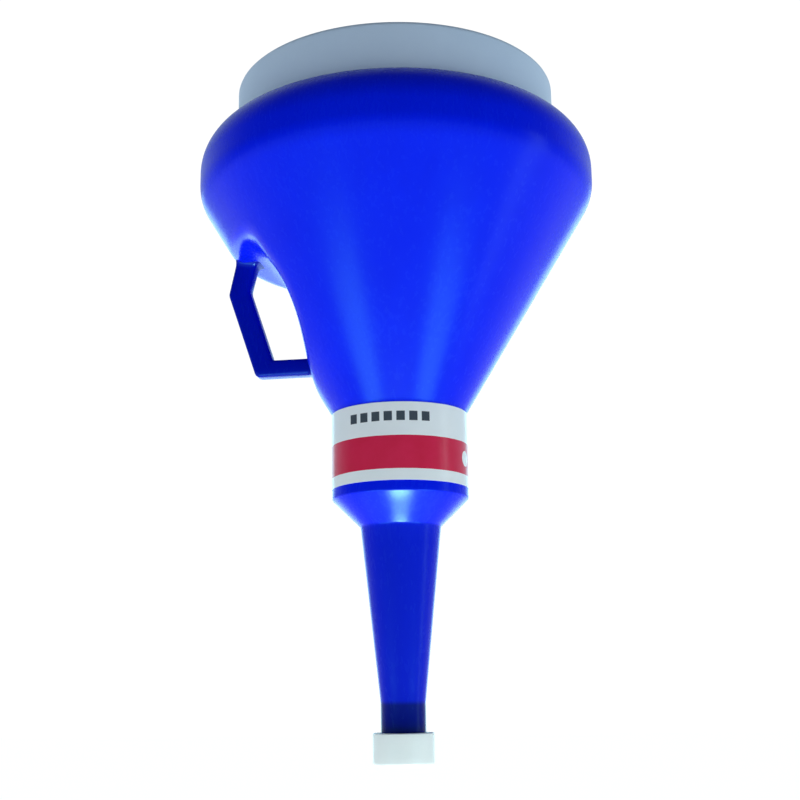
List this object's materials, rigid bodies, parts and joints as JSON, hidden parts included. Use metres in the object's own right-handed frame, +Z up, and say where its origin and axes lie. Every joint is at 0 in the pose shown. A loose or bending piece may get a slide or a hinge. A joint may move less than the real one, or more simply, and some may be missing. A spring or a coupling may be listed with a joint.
{
  "type": "lidded filling funnel",
  "caption": "Round plastic funnel with a snap lid, an open finger handle in a side recess, a banded collar, a drop-in strainer and a tapered spout with an end cap.",
  "frame": {"origin": "on the funnel's axis at the seat where the lower cone meets the spout, which rests in the filler neck", "axes": "+Z up along the funnel's axis towards the lid, -X towards the handle"},
  "size_m": [0.22, 0.22, 0.3723],
  "materials": {
    "funnel_plastic": "glossy moulded blue polyethylene",
    "label_film": "printed film, white with one broad red band",
    "lid_plastic": "grey-white translucent soft polyethylene",
    "cap_plastic": "white translucent soft polyethylene",
    "strainer_plastic": "black moulded plastic",
    "strainer_cloth": "fine woven brass wire cloth"
  },
  "bodies": {
    "funnel": {"bowl": "funnel_plastic", "handle": "funnel_plastic", "spout": "funnel_plastic", "label_band": "label_film"},
    "lid": {"lid": "lid_plastic"},
    "tip_cap": {"tip_cap": "cap_plastic"},
    "strainer": {"strainer_frame": "strainer_plastic", "strainer_mesh": "strainer_cloth"}
  },
  "joints": [
    {"name": "lid_lift", "type": "slide", "parent": "funnel", "child": "lid", "axis": [0, 0, 1], "range_m": [0, 0.06]},
    {"name": "cap_pull", "type": "slide", "parent": "funnel", "child": "tip_cap", "axis": [0, 0, -1], "range_m": [0, 0.035]},
    {"name": "strainer_lift", "type": "slide", "parent": "funnel", "child": "strainer", "axis": [0, 0, 1], "range_m": [0, 0.15]}
  ]
}
